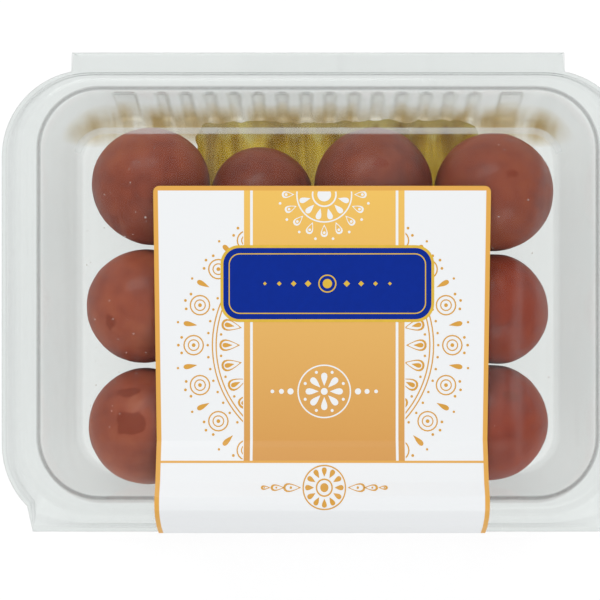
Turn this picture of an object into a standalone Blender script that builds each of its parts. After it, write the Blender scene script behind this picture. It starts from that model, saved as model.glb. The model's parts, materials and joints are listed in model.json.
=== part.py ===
"""Gulab jamun in their shut clear box: tray, lid, label, syrup and twelve balls.

Axes: +X to the right along the long side, +Y towards the hinge, +Z up.
Origin: centre of the footprint, on the surface that the tray's flat base rests on.
"""

import math
import random

import bmesh
import bpy
from mathutils import Vector

MM = 0.001
GAP = 0.3 * MM               # air between neighbouring pieces

# Clear shells, drawn from one thermoformed sheet
SHEET = 0.6 * MM
BASE_TOP = SHEET             # inner face of the tray's base
FLANGE_TOP = 33.0 * MM       # flat flange that the lid lies on
LIP_TOP = FLANGE_TOP + GAP + SHEET
CREST_TOP = 48.6 * MM        # raised ridge round the lid
PANEL_TOP = 40.5 * MM        # sunk panel that carries the label
SIDE_EDGE = 102.6 * MM       # outermost edge, from the middle
REAR_EDGE = 72.4 * MM
FRONT_EDGE = -77.4 * MM
HINGE_EDGE = 78.0 * MM       # rear edge of the hinge strip
HINGE_HALF = 79.3 * MM       # half the hinge strip's length
TAB_HALF = 92.6 * MM         # half the length of the straight front edge
CORNER_STEPS = 8

# Flutes pressed into the tray's rear wall
FLUTE_COUNT = 14
FLUTE_PITCH = 7.9 * MM
FLUTE_WIDTH = 4.6 * MM
FLUTE_SLOPE = 1.0 * MM       # width of a flute's slanting side
FLUTE_DEPTH = 1.1 * MM
END_FLUTE = (59.6 * MM, 67.4 * MM)   # wide flute beyond the last narrow one

# Label
LABEL_HALF_REAR = 54.1 * MM
LABEL_HALF_FRONT = 52.9 * MM
LABEL_SHIFT = 1.3 * MM       # stuck on slightly right of the middle
LABEL_REAR = 34.3 * MM
LABEL_FOOT = 13.0 * MM       # height at which it ends on the tray's front wall
LABEL_CORNER = 2.0 * MM
LABEL_THICK = 0.25 * MM

# Balls: centre across, centre along, radius in plan
JAMUNS = {
    "rear": [(-55.4, 35.4, 20.0), (-18.7, 31.4, 17.6), (18.2, 34.8, 20.4), (58.4, 33.4, 20.2)],
    "middle": [(-57.8, -4.4, 19.4), (-19.4, -5.6, 19.6), (20.0, -4.8, 19.3), (58.2, -5.4, 18.8)],
    "front": [(-56.9, -44.4, 19.7), (-18.3, -44.8, 19.5), (19.6, -44.0, 19.8), (57.1, -43.0, 19.6)],
}
SQUAT = 0.985                # height of a ball against its width
LUMP = 0.22 * MM             # unevenness of a ball's surface

# Syrup gathered behind and between the rear balls
SYRUP_TOP = 8.0 * MM
SYRUP_CENTRE = 7.0 * MM
SYRUP_HALF = 48.0 * MM
SYRUP_FRONT = 21.0 * MM
SYRUP_CORNER = 12.0 * MM
SYRUP_REAR_CORNER = 4.0 * MM


def clear_scene():
    """Start from an empty scene."""
    for item in list(bpy.data.objects):
        bpy.data.objects.remove(item, do_unlink=True)


def collection(name):
    """A new collection linked to the scene."""
    made = bpy.data.collections.new(name)
    bpy.context.scene.collection.children.link(made)
    return made


def material(name, colour, roughness, alpha=1.0, metallic=0.0):
    """A Principled material of one colour."""
    made = bpy.data.materials.new(name)
    made.use_nodes = True
    shader = made.node_tree.nodes["Principled BSDF"]
    shader.inputs["Base Color"].default_value = (*colour, 1.0)
    shader.inputs["Roughness"].default_value = roughness
    shader.inputs["Metallic"].default_value = metallic
    shader.inputs["Alpha"].default_value = alpha
    return made


def add_object(name, bm, finish, group):
    """Turn a bmesh into a smooth-shaded object with one material."""
    mesh = bpy.data.meshes.new(name)
    bm.to_mesh(mesh)
    bm.free()
    mesh.materials.append(finish)
    mesh.shade_smooth()
    mesh.set_sharp_from_angle(angle=math.radians(35))
    made = bpy.data.objects.new(name, mesh)
    group.objects.link(made)
    return made


# ---------------------------------------------------------------- clear shells

def spaced(low, high, count):
    """count values strictly between low and high, evenly spaced."""
    return [low + (high - low) * (i + 1) / (count + 1) for i in range(count)]


def level(half, rear, front, radius, z, rear_points=None, hinge=0.0, tab=0.0):
    """One level of a shell: a rounded rectangle, anticlockwise from its right side.

    rear_points lists (x, push) along the rear side, push being how far a flute goes out there.
    hinge and tab, 0 to 1, draw the rear side and the front corners out to the hinge strip
    and to the straight front edge.
    """
    points = []

    def corner(x_sign, y_sign, edge, first, last):
        for step in range(CORNER_STEPS + 1):
            turn = math.radians(first + (last - first) * step / CORNER_STEPS)
            x = x_sign * (half - radius) + radius * math.cos(turn)
            y = edge - y_sign * radius + radius * math.sin(turn)
            steepness = abs(math.sin(turn))
            target = (x, y)
            pull = 0.0
            if y_sign > 0 and steepness > 0.999:
                target = (x_sign * HINGE_HALF, HINGE_EDGE)
                pull = hinge
            if y_sign < 0 and steepness > math.sin(math.radians(50)):
                wide = TAB_HALF if steepness < math.sin(math.radians(60)) else abs(x)
                target = (x_sign * wide, edge)
                pull = tab
            points.append(Vector((x + (target[0] - x) * pull, y + (target[1] - y) * pull, z)))

    corner(1, 1, rear, 0, 90)
    for x, push in rear_points or [(x, 0.0) for x in spaced(half - radius, radius - half, 3)]:
        points.append(Vector((x, rear + (HINGE_EDGE - rear) * hinge + push, z)))
    corner(-1, 1, rear, 90, 180)
    points.extend(Vector((-half, y, z)) for y in spaced(rear - radius, front + radius, 2))
    corner(-1, -1, front, 180, 270)
    points.extend(Vector((x, front, z)) for x in spaced(radius - half, half - radius, 3))
    corner(1, -1, front, 270, 360)
    points.extend(Vector((half, y, z)) for y in spaced(front + radius, rear - radius, 2))
    return points


def shell(name, levels, finish, group):
    """A sheet lofted through its levels from the rim inwards, closed by a flat panel."""
    bm = bmesh.new()
    loops = [[bm.verts.new(point) for point in ring] for ring in levels]
    count = len(loops[0])
    for outer, inner in zip(loops, loops[1:]):
        for i in range(count):
            j = (i + 1) % count
            bm.faces.new((outer[i], outer[j], inner[j], inner[i]))
    bm.faces.new(loops[-1])
    made = add_object(name, bm, finish, group)
    wall = made.modifiers.new("Sheet", "SOLIDIFY")
    wall.thickness = SHEET
    wall.offset = -1.0
    wall.use_even_offset = True
    wall.use_quality_normals = True
    return made


def flute_points(depth):
    """(x, push) along the tray's rear side, right to left, with every flute pushed out by depth."""
    centres = [FLUTE_PITCH * (i - (FLUTE_COUNT - 1) / 2) for i in range(FLUTE_COUNT)]
    spans = [(x - FLUTE_WIDTH / 2, x + FLUTE_WIDTH / 2) for x in centres]
    spans = [(-END_FLUTE[1], -END_FLUTE[0])] + spans + [END_FLUTE]
    points = []
    for low, high in reversed(spans):
        points.append((high, 0.0))
        points.append((high - FLUTE_SLOPE, depth))
        points.append((low + FLUTE_SLOPE, depth))
        points.append((low, 0.0))
    return points


def tray(finish, group):
    """Open tray: flat flange, tapered walls with a fluted rear, rounded foot and flat base."""
    plain = flute_points(0.0)
    fluted = flute_points(FLUTE_DEPTH)
    levels = [
        level(SIDE_EDGE, REAR_EDGE, FRONT_EDGE, 28 * MM, FLANGE_TOP, plain, hinge=1.0, tab=1.0),
        level(90.3 * MM, 66.0 * MM, -68.0 * MM, 20 * MM, FLANGE_TOP, plain),
        level(89.5 * MM, 65.2 * MM, -67.4 * MM, 19.4 * MM, 31.0 * MM, plain),
        level(89.0 * MM, 64.7 * MM, -67.0 * MM, 19.0 * MM, 29.4 * MM, fluted),
        level(82.3 * MM, 58.6 * MM, -61.6 * MM, 14.0 * MM, 5.0 * MM, fluted),
        level(80.8 * MM, 57.2 * MM, -60.2 * MM, 12.5 * MM, 2.0 * MM, plain),
        level(78.2 * MM, 54.6 * MM, -57.6 * MM, 10.0 * MM, BASE_TOP, plain),
    ]
    return shell("tray", levels, finish, group)


def lid(finish, group):
    """Lid: lip, convex outer wall, ridge, and a ramp down to the sunk panel."""
    levels = [
        level(SIDE_EDGE, REAR_EDGE, FRONT_EDGE, 28 * MM, LIP_TOP, hinge=1.0, tab=1.0),
        level(SIDE_EDGE - 1.2 * MM, REAR_EDGE - 1.2 * MM, FRONT_EDGE + 1.2 * MM, 27 * MM, LIP_TOP, tab=0.9),
        level(98.8 * MM, 70.6 * MM, -74.2 * MM, 26 * MM, 41.0 * MM, tab=0.45),
        level(96.4 * MM, 69.6 * MM, -70.8 * MM, 25 * MM, 46.2 * MM),
        level(94.2 * MM, 68.2 * MM, -68.4 * MM, 23.5 * MM, 48.1 * MM),
        level(91.4 * MM, 66.6 * MM, -66.6 * MM, 21.5 * MM, CREST_TOP),
        level(88.6 * MM, 65.0 * MM, -65.0 * MM, 19.5 * MM, 48.2 * MM),
        level(87.8 * MM, 64.2 * MM, -64.2 * MM, 18.8 * MM, 46.2 * MM),
        level(78.4 * MM, 52.8 * MM, -49.4 * MM, 10.5 * MM, 41.4 * MM),
        level(76.6 * MM, 51.0 * MM, -47.4 * MM, 9.0 * MM, PANEL_TOP),
    ]
    return shell("lid", levels, finish, group)


# ---------------------------------------------------------------- balls

def plan(entry):
    """A ball's (x, y, radius) in metres."""
    return tuple(value * MM for value in entry)


def ball_centre(entry):
    """The centre of a ball that rests on the tray's base, and its radius and half height."""
    x, y, radius = plan(entry)
    room = PANEL_TOP - SHEET - GAP - (BASE_TOP + GAP)
    half_height = min(radius * SQUAT, room / 2 + 0.35 * MM)
    sink = 0.25 * MM
    return Vector((x, y, BASE_TOP + GAP + half_height - sink)), radius, half_height


def press_flat(verts, point, normal):
    """Push what lies beyond a plane back onto it, as soft food does where it touches."""
    for vert in verts:
        beyond = (vert.co - point).dot(normal)
        if beyond > 0:
            vert.co -= normal * beyond


def jamun_shape(index, grow=0.0):
    """One ball's mesh: slightly lumpy, squat, and flat where it touches its neighbours.

    grow swells it by that much, for cutting the syrup round it.
    """
    entries = [entry for row in JAMUNS.values() for entry in row]
    centre, radius, half_height = ball_centre(entries[index])
    rng = random.Random(40 + index)
    waves = []
    for _ in range(5):
        direction = Vector((rng.uniform(-1, 1), rng.uniform(-1, 1), rng.uniform(-1, 1))).normalized()
        waves.append((direction, rng.uniform(2.0, 4.5), rng.uniform(0, math.tau)))
    bm = bmesh.new()
    bmesh.ops.create_icosphere(bm, subdivisions=3, radius=1.0)
    for vert in bm.verts:
        way = vert.co.normalized()
        lump = sum(math.sin(way.dot(d) * rate + phase) for d, rate, phase in waves) * LUMP / 2
        size = Vector((radius, radius, half_height)) + Vector((lump, lump, lump * 0.4))
        vert.co = centre + Vector((way.x * size.x, way.y * size.y, way.z * size.z))
    for other, entry in enumerate(entries):
        if other == index:
            continue
        other_centre, other_radius, _ = ball_centre(entry)
        between = other_centre - centre
        share = between.length * radius / (radius + other_radius)
        normal = between.normalized()
        press_flat(bm.verts, centre + normal * (share - GAP / 2), normal)
    press_flat(bm.verts, Vector((0, 0, BASE_TOP + GAP)), Vector((0, 0, -1)))
    press_flat(bm.verts, Vector((0, 0, PANEL_TOP - SHEET - GAP)), Vector((0, 0, 1)))
    wall_foot = Vector((0, -61.6 * MM, 5.0 * MM))
    wall_head = Vector((0, -67.0 * MM, 29.4 * MM))
    along = (wall_head - wall_foot).normalized()
    outwards = Vector((0, -along.z, along.y))
    press_flat(bm.verts, wall_foot - outwards * GAP, outwards)
    if grow:
        bm.normal_update()
        for vert, normal in [(vert, vert.normal.copy()) for vert in bm.verts]:
            vert.co += normal * grow
    return bm


def jamuns(finish, group):
    """The twelve balls, three rows of four."""
    index = 0
    for row, entries in JAMUNS.items():
        for number in range(len(entries)):
            add_object(f"jamun_{row}_{number + 1}", jamun_shape(index), finish, group)
            index += 1


# ---------------------------------------------------------------- syrup

def syrup_level(z, inset, rear):
    """One level of the pool: straight along the tray's rear wall, rounded at its four corners."""
    half = SYRUP_HALF - inset
    front = SYRUP_FRONT + inset
    corners = [
        (1, 0, SYRUP_REAR_CORNER, rear - SYRUP_REAR_CORNER),
        (-1, 90, SYRUP_REAR_CORNER, rear - SYRUP_REAR_CORNER),
        (-1, 180, SYRUP_CORNER, front + SYRUP_CORNER),
        (1, 270, SYRUP_CORNER, front + SYRUP_CORNER),
    ]
    points = []
    for side, first, radius, middle in corners:
        for step in range(5):
            turn = math.radians(first + 90 * step / 4)
            points.append(Vector((SYRUP_CENTRE + side * (half - radius) + radius * math.cos(turn),
                                  middle + radius * math.sin(turn), z)))
    return points


def syrup(finish, group, cutters):
    """Pool of thick syrup with rounded edges, cut round the rear balls."""
    levels = [
        syrup_level(SYRUP_TOP, 1.6 * MM, 58.4 * MM),
        syrup_level(SYRUP_TOP - 0.5 * MM, 0.5 * MM, 58.7 * MM),
        syrup_level(5.0 * MM, 0.0, 58.1 * MM),
        syrup_level(2.1 * MM, 0.3 * MM, 56.7 * MM),
        syrup_level(BASE_TOP + GAP, 1.6 * MM, 54.2 * MM),
    ]
    bm = bmesh.new()
    loops = [[bm.verts.new(point) for point in ring] for ring in levels]
    count = len(loops[0])
    bm.faces.new(loops[0])
    for upper, lower in zip(loops, loops[1:]):
        for i in range(count):
            j = (i + 1) % count
            bm.faces.new((upper[i], lower[i], lower[j], upper[j]))
    bm.faces.new(list(reversed(loops[-1])))
    pool = add_object("syrup", bm, finish, group)
    for index in range(len(JAMUNS["rear"])):
        cutter = add_object(f"syrup_cutter_{index + 1}", jamun_shape(index, grow=GAP), finish, cutters)
        cutter.hide_render = True
        cutter.display_type = "WIRE"
        cut = pool.modifiers.new("Ball", "BOOLEAN")
        cut.operation = "DIFFERENCE"
        cut.solver = "EXACT"
        cut.object = cutter
    return pool


# ---------------------------------------------------------------- label

def label_path():
    """The label's inner face in the Y-Z plane: panel, ramp, ridge, front wall, under the flange, wall."""
    off = GAP
    under = FLANGE_TOP - SHEET - off
    slope = (67.0 - 61.6) / (29.4 - 5.0)
    clear_of_wall = (SHEET + off) * math.hypot(1.0, slope) + 0.05 * MM

    def wall_at(z):
        """Where the label lies in front of the tray's wall at height z."""
        return -61.6 * MM - slope * (z - 5.0 * MM) - clear_of_wall

    return [
        (-47.2 * MM, PANEL_TOP + off),
        (-49.3 * MM, 41.4 * MM + off * 1.1),
        (-60.0 * MM, 45.1 * MM + off * 1.1),
        (-64.4 * MM, 48.3 * MM + off),
        (-66.6 * MM, CREST_TOP + off),
        (-68.6 * MM, 48.1 * MM + off * 1.1),
        (-71.1 * MM, 46.2 * MM + off * 0.9),
        (-74.6 * MM, 41.0 * MM + off * 0.9),
        (FRONT_EDGE - off * 0.9, LIP_TOP + off * 1.4),
        (FRONT_EDGE - off * 1.3, LIP_TOP - 0.4 * MM),
        (FRONT_EDGE - off, under + 0.3 * MM),
        (FRONT_EDGE + 0.5 * MM, under),
        (wall_at(under) - 1.2 * MM, under),
        (wall_at(under - 1.2 * MM), under - 1.2 * MM),
        (wall_at(22 * MM), 22 * MM),
        (wall_at(LABEL_FOOT), LABEL_FOOT),
    ]


def label(finish, group):
    """Paper label from the lid's panel over its front edge and down the tray's front wall."""
    rows = []
    for step in range(4):
        turn = math.radians(90 * step / 3)
        back = LABEL_CORNER * (1 - math.cos(turn))
        inset = LABEL_CORNER * (1 - math.sin(turn))
        rows.append((LABEL_REAR - back, PANEL_TOP + GAP, LABEL_HALF_REAR - inset))
    for y in (12 * MM, -16 * MM):
        share = (LABEL_REAR - y) / (LABEL_REAR + 47.2 * MM)
        rows.append((y, PANEL_TOP + GAP, LABEL_HALF_REAR + (LABEL_HALF_FRONT - LABEL_HALF_REAR) * share))
    rows.extend((y, z, LABEL_HALF_FRONT) for y, z in label_path())
    bm = bmesh.new()
    strips = []
    for y, z, half in rows:
        strips.append([bm.verts.new((LABEL_SHIFT + side * half, y, z)) for side in (-1, 0, 1)])
    for behind, ahead in zip(strips, strips[1:]):
        for i in range(2):
            bm.faces.new((ahead[i], ahead[i + 1], behind[i + 1], behind[i]))
    made = add_object("label", bm, finish, group)
    paper = made.modifiers.new("Paper", "SOLIDIFY")
    paper.thickness = LABEL_THICK
    paper.offset = 1.0
    paper.use_even_offset = True
    return made


def build():
    clear_scene()
    pack = collection("gulab_jamun_pack")
    cutters = collection("cutters")
    clear_sheet = material("clear_sheet", (0.86, 0.90, 0.89), 0.08, alpha=0.3)
    tray(clear_sheet, pack)
    lid(clear_sheet, pack)
    jamuns(material("fried_dough", (0.21, 0.045, 0.022), 0.35), pack)
    syrup(material("syrup", (0.32, 0.24, 0.03), 0.06), pack, cutters)
    label(material("label_paper", (0.86, 0.86, 0.85), 0.45), pack)


build()
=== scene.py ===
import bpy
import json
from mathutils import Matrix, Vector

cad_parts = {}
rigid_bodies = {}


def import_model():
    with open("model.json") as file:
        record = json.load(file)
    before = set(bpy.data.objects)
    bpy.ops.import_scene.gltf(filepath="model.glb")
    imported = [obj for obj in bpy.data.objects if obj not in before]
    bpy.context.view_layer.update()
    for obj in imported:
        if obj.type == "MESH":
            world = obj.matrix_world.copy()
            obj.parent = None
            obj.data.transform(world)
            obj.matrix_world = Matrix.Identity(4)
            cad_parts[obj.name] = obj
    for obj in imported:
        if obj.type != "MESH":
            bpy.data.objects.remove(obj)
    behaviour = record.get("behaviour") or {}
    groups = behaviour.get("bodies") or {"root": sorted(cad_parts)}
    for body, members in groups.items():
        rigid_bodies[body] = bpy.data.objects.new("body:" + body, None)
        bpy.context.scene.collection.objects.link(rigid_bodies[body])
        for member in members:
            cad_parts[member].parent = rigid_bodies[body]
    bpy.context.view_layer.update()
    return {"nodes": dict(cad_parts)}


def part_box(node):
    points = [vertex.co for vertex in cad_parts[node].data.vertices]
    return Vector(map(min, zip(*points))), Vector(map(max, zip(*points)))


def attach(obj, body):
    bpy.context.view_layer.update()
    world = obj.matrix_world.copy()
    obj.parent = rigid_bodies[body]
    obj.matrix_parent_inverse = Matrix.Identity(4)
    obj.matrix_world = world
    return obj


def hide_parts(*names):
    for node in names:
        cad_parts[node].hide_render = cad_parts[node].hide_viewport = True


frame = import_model()

import json
import math
import random

import bmesh
import bpy
from mathutils import Vector

# --- Tray -----------------------------------------------------------------------
# The lower half of the box is formed from clear plastic sheet 0.6 mm thick. It has a
# flat flange that runs out into the hinge strip, tapered walls with upright flutes
# behind, a rounded foot and a flat base.
MM = 0.001
SHEET = 0.6 * MM
CORNER_CUTS = 16             # straight pieces in a quarter turn
HINGE_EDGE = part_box("tray")[1][1]
HINGE_HALF = 79.3 * MM
TAB_HALF = 92.6 * MM         # half the length of the straight front edge

# half width, rear edge, front edge, corner radius and height, from the rim inwards
TRAY_LEVELS = [
    (102.6, 72.4, -77.4, 28.0, 33.0),
    (90.3, 66.0, -68.0, 20.0, 33.0),
    (89.5, 65.2, -67.4, 19.4, 31.0),
    (89.0, 64.7, -67.0, 19.0, 29.4),
    (82.3, 58.6, -61.6, 14.0, 5.0),
    (80.8, 57.2, -60.2, 12.5, 2.0),
    (78.2, 54.6, -57.6, 10.0, 0.6),
]
FLUTE_COUNT = 14
FLUTE_PITCH = 7.9 * MM
FLUTE_WIDTH = 4.6 * MM
FLUTE_DEPTH = 1.1 * MM
END_FLUTE = (59.6 * MM, 67.4 * MM)
# axis, where the streaks of syrup begin and where they are full
STREAKS = (("Y", 50 * MM, 56 * MM), ("Z", 21 * MM, 7 * MM))
STREAK_BROWN = (0.66, 0.55, 0.34, 1.0)


def deselect():
    """Leave edit mode and select nothing."""
    if bpy.context.object and bpy.context.object.mode != "OBJECT":
        bpy.ops.object.mode_set(mode="OBJECT")
    bpy.ops.object.select_all(action="DESELECT")


def take_up(piece):
    """Select a piece alone and make it active."""
    deselect()
    piece.select_set(True)
    bpy.context.view_layer.objects.active = piece


def select_level(piece, number):
    """Add one level's loop to what is selected in edit mode."""
    piece.vertex_groups.active_index = number
    bpy.ops.object.vertex_group_select()


def select_faces(piece, wanted):
    """Select, in edit mode, just the faces for which wanted(face) is true."""
    bpy.ops.mesh.select_mode(type="FACE")
    bm = bmesh.from_edit_mesh(piece.data)
    for face in bm.faces:
        face.select_set(wanted(face))
    bmesh.update_edit_mesh(piece.data)


def formed_sheet(name, levels):
    """Rounded outlines, each bridged to the next, with the innermost closed by a flat panel."""
    deselect()
    bpy.ops.mesh.primitive_plane_add(size=1.0)
    piece = bpy.context.active_object
    piece.name = name
    piece.data.name = name
    bpy.ops.object.mode_set(mode="EDIT")
    bpy.ops.mesh.select_mode(type="VERT")
    for number, sizes in enumerate(levels):
        half, rear, front, radius, height = (size * MM for size in sizes)
        if number > 0:
            bpy.ops.mesh.select_all(action="DESELECT")
            bpy.ops.mesh.primitive_plane_add(size=1.0)
        bpy.ops.transform.resize(value=(2 * half, rear - front, 1.0), center_override=(0.0, 0.0, 0.0))
        bpy.ops.transform.translate(value=(0.0, (rear + front) / 2, height))
        bpy.ops.mesh.bevel(offset=radius, segments=CORNER_CUTS, affect="VERTICES")
        piece.vertex_groups.new(name=f"level_{number}")
        piece.vertex_groups.active_index = number
        bpy.ops.object.vertex_group_assign()
        bpy.ops.mesh.delete(type="ONLY_FACE")
        if number > 0:
            select_level(piece, number - 1)
            select_level(piece, number)
            bpy.ops.mesh.bridge_edge_loops()
    bpy.ops.mesh.select_all(action="DESELECT")
    select_level(piece, len(levels) - 1)
    bpy.ops.mesh.edge_face_add()
    bpy.ops.mesh.select_all(action="SELECT")
    bpy.ops.mesh.normals_make_consistent(inside=False)
    bm = bmesh.from_edit_mesh(piece.data)
    panel = max(bm.faces, key=lambda face: face.calc_area())
    if panel.normal.z < 0:
        bpy.ops.mesh.flip_normals()
    return piece


def draw_out(piece, number, edges, hinge, tab):
    """Draw one level's rear side out to the hinge and its front corners out to a straight tab."""
    bpy.ops.object.mode_set(mode="OBJECT")
    half, rear, front, radius = (size * MM for size in edges)
    group = piece.vertex_groups[number].index
    for vert in piece.data.vertices:
        if group not in [entry.group for entry in vert.groups]:
            continue
        x, y = vert.co.x, vert.co.y
        side = math.copysign(1.0, x)
        if y > rear - 0.3 * MM:
            end = abs(x) > half - radius + 1.0 * MM
            reach = side * HINGE_HALF if end else x
            vert.co.x += (reach - x) * hinge
            vert.co.y += (HINGE_EDGE - y) * hinge
        steepness = (front + radius - y) / radius
        if steepness > math.sin(math.radians(50)):
            reach = side * TAB_HALF if steepness < math.sin(math.radians(55)) else x
            vert.co.x += (reach - x) * tab
            vert.co.y += (front - y) * tab
    bpy.ops.object.mode_set(mode="EDIT")


def split_rear(piece, columns):
    """Cut the straight rear side of every level at the given places along the box."""
    bpy.ops.mesh.select_mode(type="EDGE")
    bm = bmesh.from_edit_mesh(piece.data)
    for edge in bm.edges:
        left, right = sorted((vert.co for vert in edge.verts), key=lambda co: co.x)
        edge.select_set(left.y > 50 * MM and abs(left.y - right.y) < 0.01 * MM and right.x - left.x > 0.1)
    bmesh.update_edit_mesh(piece.data)
    bpy.ops.mesh.subdivide(number_cuts=len(columns))
    bm = bmesh.from_edit_mesh(piece.data)
    rows = {}
    for vert in bm.verts:
        if vert.select:
            rows.setdefault((round(vert.co.y, 5), round(vert.co.z, 5)), []).append(vert)
    for row in rows.values():
        row.sort(key=lambda vert: vert.co.x)
        for vert, x in zip(row[1:-1], columns):
            vert.co.x = x
    bmesh.update_edit_mesh(piece.data)


def finish_sheet(piece, bend, thickness):
    """Round the bends, give the sheet its thickness, ease its cut edge and shade it smooth."""
    take_up(piece)
    piece.vertex_groups.clear()
    soften = piece.modifiers.new("bends", "BEVEL")
    soften.width = bend
    soften.segments = 3
    soften.limit_method = "ANGLE"
    soften.angle_limit = math.radians(9)
    wall = piece.modifiers.new("sheet", "SOLIDIFY")
    wall.thickness = thickness
    wall.offset = -1.0
    wall.use_quality_normals = True
    edge = piece.modifiers.new("cut_edge", "BEVEL")
    edge.width = 0.12 * MM
    edge.segments = 2
    edge.limit_method = "ANGLE"
    edge.angle_limit = math.radians(60)
    for modifier in [soften.name, wall.name, edge.name]:
        bpy.ops.object.modifier_apply(modifier=modifier)
    # the sheet is cut off straight at the hinge fold
    for vert in piece.data.vertices:
        vert.co.y = min(vert.co.y, HINGE_EDGE)
    bpy.ops.object.shade_smooth_by_angle(angle=math.radians(35))


def empty_material(name):
    """A node material with nothing in it but its output, and its nodes and links."""
    made = bpy.data.materials.new(name)
    made.use_nodes = True
    made.node_tree.nodes.clear()
    output = made.node_tree.nodes.new("ShaderNodeOutputMaterial")
    return made, made.node_tree.nodes, made.node_tree.links, output


def grey_ramp(nodes, links, source, stops):
    """A ramp of greys, given as (place, value), that reads source."""
    made = nodes.new("ShaderNodeValToRGB")
    while len(made.color_ramp.elements) < len(stops):
        made.color_ramp.elements.new(0.5)
    for element, (place, value) in zip(made.color_ramp.elements, stops):
        element.position = place
        element.color = (value, value, value, 1.0)
    links.new(source, made.inputs["Fac"])
    return made.outputs["Color"]


def noise(nodes, links, scale, detail=3.0, stretch=(1.0, 1.0, 1.0), distortion=0.0):
    """Noise on Object coordinates, stretched by the given factors."""
    place = nodes.new("ShaderNodeTexCoord")
    pull = nodes.new("ShaderNodeMapping")
    pull.inputs["Scale"].default_value = stretch
    links.new(place.outputs["Object"], pull.inputs["Vector"])
    made = nodes.new("ShaderNodeTexNoise")
    made.inputs["Scale"].default_value = scale
    made.inputs["Detail"].default_value = detail
    made.inputs["Distortion"].default_value = distortion
    links.new(pull.outputs["Vector"], made.inputs["Vector"])
    return made.outputs["Fac"]


def combine(nodes, links, operation, first, second):
    """One Math node; each input is a socket or a number."""
    made = nodes.new("ShaderNodeMath")
    made.operation = operation
    for socket, value in zip(made.inputs, (first, second)):
        if isinstance(value, (int, float)):
            socket.default_value = value
        else:
            links.new(value, socket)
    return made.outputs["Value"]


def clear_plastic(name, depths, haze_and_highlight_face, haze_and_highlight_edge, smear, stained=False):
    """Clear sheet: see-through face on, greyer and more mirror-like edge on, with rubs.

    depths are the light let through by one face of the sheet, from face on to edge on.
    A stained sheet has streaks of syrup low on its rear wall.
    """
    made, nodes, links, output = empty_material(name)
    facing = nodes.new("ShaderNodeLayerWeight")
    facing.inputs["Blend"].default_value = 0.5
    depth = grey_ramp(nodes, links, facing.outputs["Facing"], list(zip((0.0, 0.5, 0.8, 1.0), depths)))
    tint = nodes.new("ShaderNodeMix")
    tint.data_type = "RGBA"
    tint.blend_type = "MULTIPLY"
    tint.inputs["Factor"].default_value = 1.0
    tint.inputs["B"].default_value = (0.990, 1.0, 0.996, 1.0)
    links.new(depth, tint.inputs["A"])
    clear_colour = tint.outputs["Result"]
    if stained:
        place = nodes.new("ShaderNodeTexCoord")
        split = nodes.new("ShaderNodeSeparateXYZ")
        links.new(place.outputs["Object"], split.inputs["Vector"])
        mask = grey_ramp(nodes, links, noise(nodes, links, 110.0, 3.0, (1.0, 0.1, 0.12), 0.3),
                         [(0.36, 0.25), (0.62, 1.0)])
        for axis, start, full in STREAKS:
            fade = nodes.new("ShaderNodeMapRange")
            fade.inputs["From Min"].default_value = start
            fade.inputs["From Max"].default_value = full
            links.new(split.outputs[axis], fade.inputs["Value"])
            mask = combine(nodes, links, "MULTIPLY", mask, fade.outputs["Result"])
        stain = nodes.new("ShaderNodeMix")
        stain.data_type = "RGBA"
        stain.inputs["B"].default_value = STREAK_BROWN
        links.new(mask, stain.inputs["Factor"])
        links.new(clear_colour, stain.inputs["A"])
        clear_colour = stain.outputs["Result"]
    through = nodes.new("ShaderNodeBsdfTransparent")
    links.new(clear_colour, through.inputs["Color"])
    # whitish haze, stronger edge on; where it is set high, as on the lid's bend, it is a painted highlight
    film = grey_ramp(nodes, links, facing.outputs["Facing"],
                     [(0.0, haze_and_highlight_face), (0.06, haze_and_highlight_face * 2.5), (0.5, haze_and_highlight_edge * 0.7), (1.0, haze_and_highlight_edge)])
    rubs = grey_ramp(nodes, links, noise(nodes, links, 16.0, 3.0, (1.0, 0.7, 1.4), 0.8),
                     [(0.48, 0.0), (0.72, smear)])
    scuffs = grey_ramp(nodes, links, noise(nodes, links, 90.0, 4.0, (1.0, 0.12, 1.0), 0.4),
                       [(0.58, 0.0), (0.70, smear * 0.8)])
    haze_and_highlight = combine(nodes, links, "ADD", film, combine(nodes, links, "ADD", rubs, scuffs))
    skin = nodes.new("ShaderNodeBsdfPrincipled")
    skin.inputs["Base Color"].default_value = (0.80, 0.82, 0.81, 1.0)
    skin.inputs["Roughness"].default_value = 0.12
    blend = nodes.new("ShaderNodeMixShader")
    links.new(haze_and_highlight, blend.inputs["Fac"])
    links.new(through.outputs["BSDF"], blend.inputs[1])
    links.new(skin.outputs["BSDF"], blend.inputs[2])
    mirror = nodes.new("ShaderNodeBsdfGlossy")
    mirror.inputs["Color"].default_value = (0.95, 0.97, 0.96, 1.0)
    mirror.inputs["Roughness"].default_value = 0.06
    shine = grey_ramp(nodes, links, facing.outputs["Facing"],
                      [(0.0, 0.004), (0.30, 0.015), (0.65, 0.09), (0.90, 0.35)])
    skinned = nodes.new("ShaderNodeMixShader")
    links.new(shine, skinned.inputs["Fac"])
    links.new(blend.outputs["Shader"], skinned.inputs[1])
    links.new(mirror.outputs["BSDF"], skinned.inputs[2])
    links.new(skinned.outputs["Shader"], output.inputs["Surface"])
    return made


flutes = [FLUTE_PITCH * (i - (FLUTE_COUNT - 1) / 2) for i in range(FLUTE_COUNT)]
flutes = [(x - FLUTE_WIDTH / 2, x + FLUTE_WIDTH / 2) for x in flutes]
flutes = [(-END_FLUTE[1], -END_FLUTE[0])] + flutes + [END_FLUTE]

tray = formed_sheet("clear_tray", TRAY_LEVELS)
draw_out(tray, 0, TRAY_LEVELS[0][:4], 1.0, 1.0)
split_rear(tray, [x for span in flutes for x in span])


def is_flute(face):
    """Whether a face of the rear wall lies on a flute."""
    centre = face.calc_center_median()
    on_wall = centre.y > 55 * MM and 10 * MM < centre.z < 25 * MM
    return on_wall and any(low < centre.x < high for low, high in flutes)


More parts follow.
